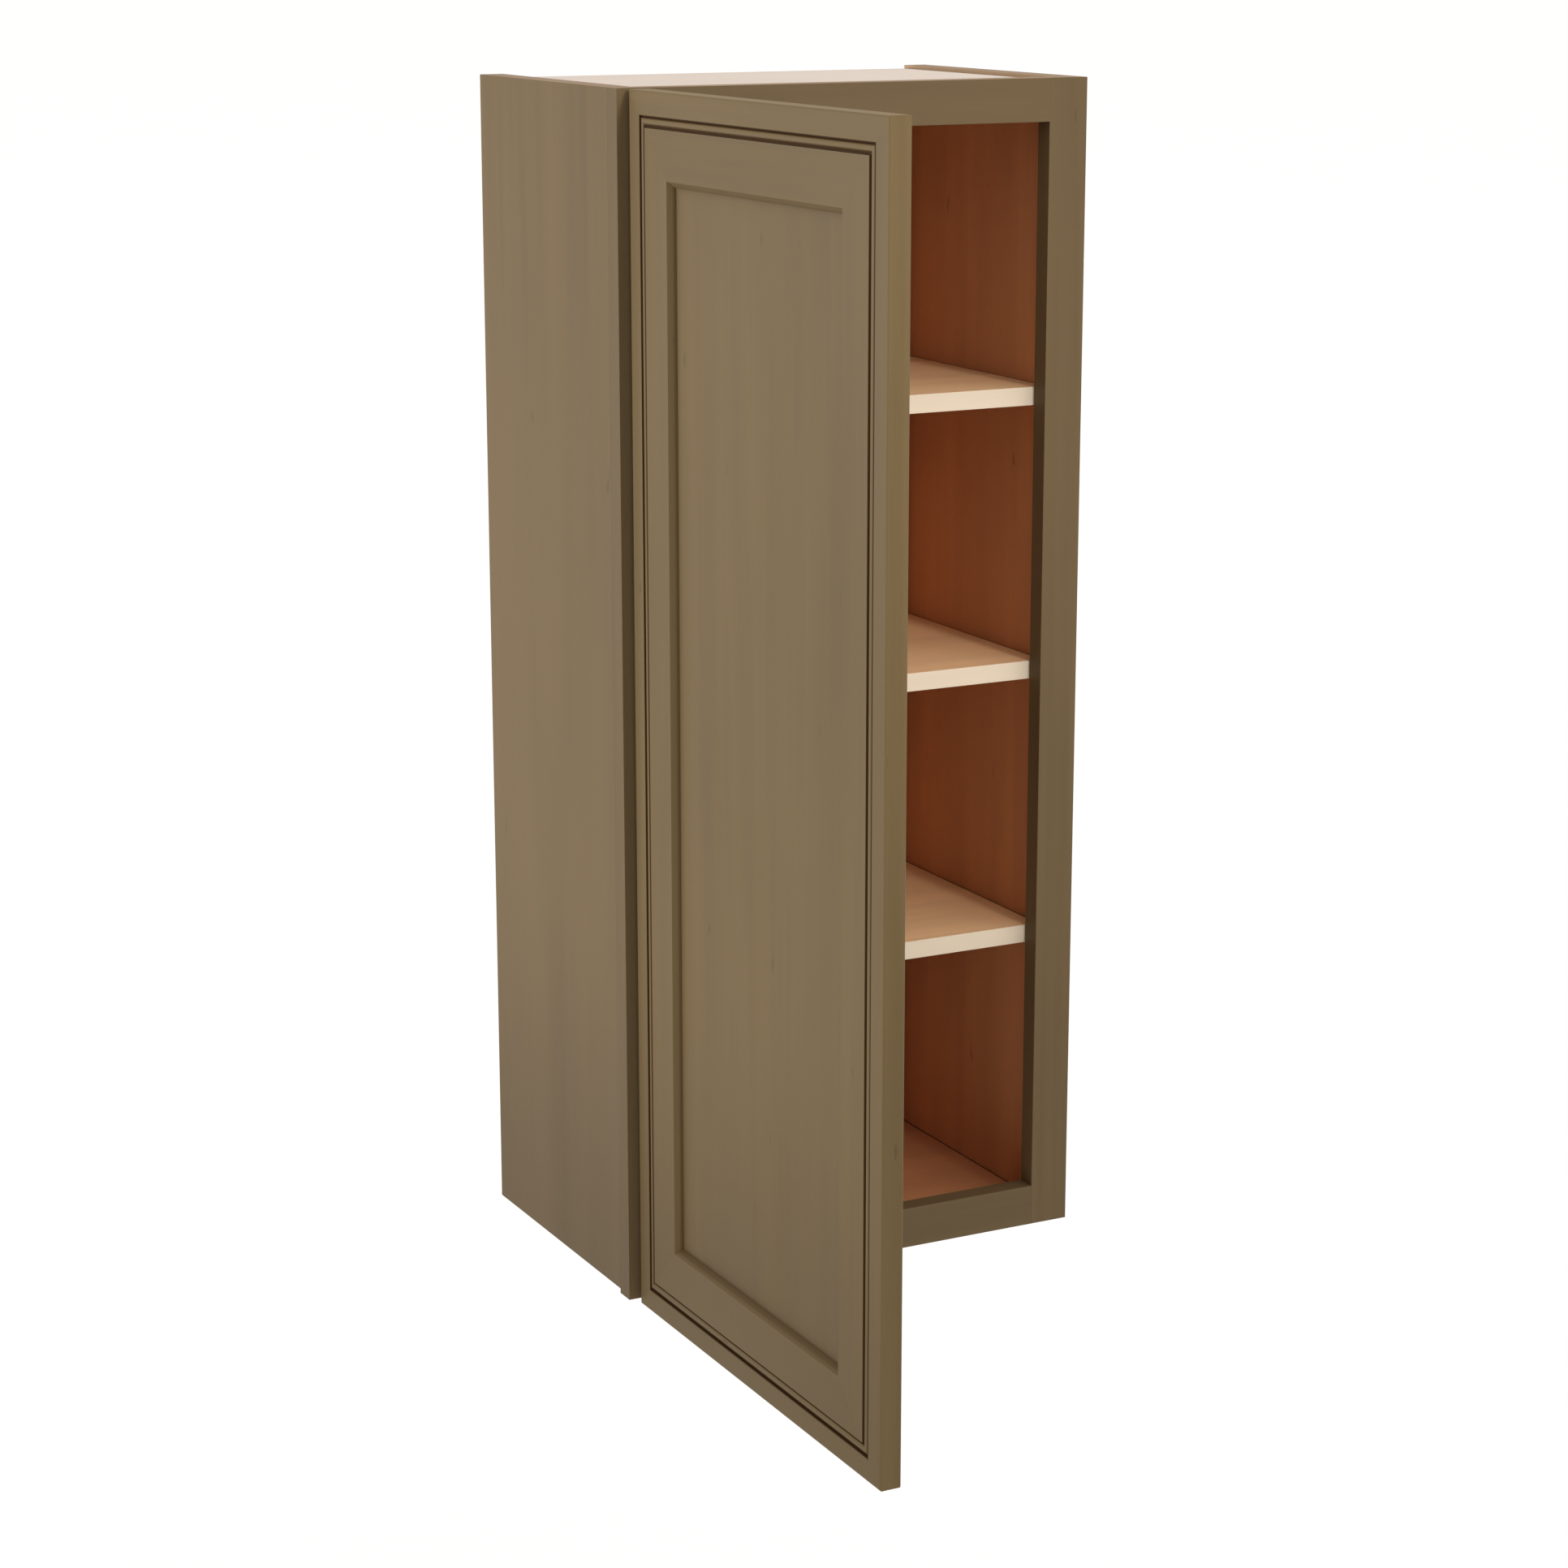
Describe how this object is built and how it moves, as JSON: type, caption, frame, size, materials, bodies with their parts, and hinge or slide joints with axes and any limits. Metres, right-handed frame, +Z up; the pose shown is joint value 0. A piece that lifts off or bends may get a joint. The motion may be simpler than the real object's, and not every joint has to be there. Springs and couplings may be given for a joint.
{
  "type": "hanging wall cabinet",
  "caption": "Tall narrow wall cabinet with a face frame, one left-hinged door on cup hinges, adjustable shelves and hanging rails at the back.",
  "frame": {"origin": "centre of the upper hanging rail's back face, where the cabinet meets its wall", "axes": "+X to the right seen from the room, +Y into the wall, +Z up"},
  "size_m": [0.4572, 0.7428, 1.0688],
  "materials": {
    "stained_wood": "olive brown stain with dark glaze in the grooves, satin",
    "natural_wood": "warm natural wood, clear satin",
    "top_board": "pale unfinished board",
    "shelf_board": "light maple board, satin",
    "edge_band": "cream veneer band, satin",
    "back_board": "thin warm board, satin",
    "pin_steel": "nickel plate",
    "hinge_steel": "nickel plate",
    "bumper_rubber": "soft clear plastic"
  },
  "bodies": {
    "cabinet": {"left_end_skin": "stained_wood", "right_end_skin": "stained_wood", "frame_left_stile": "stained_wood", "frame_right_stile": "stained_wood", "frame_top_rail": "stained_wood", "frame_bottom_rail": "stained_wood", "left_side": "natural_wood", "right_side": "natural_wood", "floor_panel": "natural_wood", "upper_hanging_rail": "natural_wood", "lower_hanging_rail": "natural_wood", "top_panel": "top_board", "back_panel": "back_board", "lower_shelf": "shelf_board", "middle_shelf": "shelf_board", "upper_shelf": "shelf_board", "lower_shelf_edge_band": "edge_band", "middle_shelf_edge_band": "edge_band", "upper_shelf_edge_band": "edge_band", "lower_shelf_pin_left_front": "pin_steel", "lower_shelf_pin_right_front": "pin_steel", "lower_shelf_pin_left_back": "pin_steel", "lower_shelf_pin_right_back": "pin_steel", "middle_shelf_pin_left_front": "pin_steel", "middle_shelf_pin_right_front": "pin_steel", "middle_shelf_pin_left_back": "pin_steel", "middle_shelf_pin_right_back": "pin_steel", "upper_shelf_pin_left_front": "pin_steel", "upper_shelf_pin_right_front": "pin_steel", "upper_shelf_pin_left_back": "pin_steel", "upper_shelf_pin_right_back": "pin_steel", "lower_hinge_base": "hinge_steel", "lower_hinge_arm": "hinge_steel", "lower_hinge_frame_screw": "hinge_steel", "middle_hinge_base": "hinge_steel", "middle_hinge_arm": "hinge_steel", "middle_hinge_frame_screw": "hinge_steel", "upper_hinge_base": "hinge_steel", "upper_hinge_arm": "hinge_steel", "upper_hinge_frame_screw": "hinge_steel"},
    "door": {"door_hinge_stile": "stained_wood", "door_free_stile": "stained_wood", "door_bottom_rail": "stained_wood", "door_top_rail": "stained_wood", "door_panel": "stained_wood", "door_bumper_low": "bumper_rubber", "door_bumper_high": "bumper_rubber", "lower_hinge_cup": "hinge_steel", "lower_hinge_pin": "hinge_steel", "lower_hinge_cup_screw_low": "hinge_steel", "lower_hinge_cup_screw_high": "hinge_steel", "middle_hinge_cup": "hinge_steel", "middle_hinge_pin": "hinge_steel", "middle_hinge_cup_screw_low": "hinge_steel", "middle_hinge_cup_screw_high": "hinge_steel", "upper_hinge_cup": "hinge_steel", "upper_hinge_pin": "hinge_steel", "upper_hinge_cup_screw_low": "hinge_steel", "upper_hinge_cup_screw_high": "hinge_steel"}
  },
  "joints": [
    {"name": "door_swing", "type": "hinge", "parent": "cabinet", "child": "door", "pos_m": [-0.21325, -0.3073, -0.4805], "axis": [0, 0, -1], "range_deg": [-90, 15]}
  ]
}
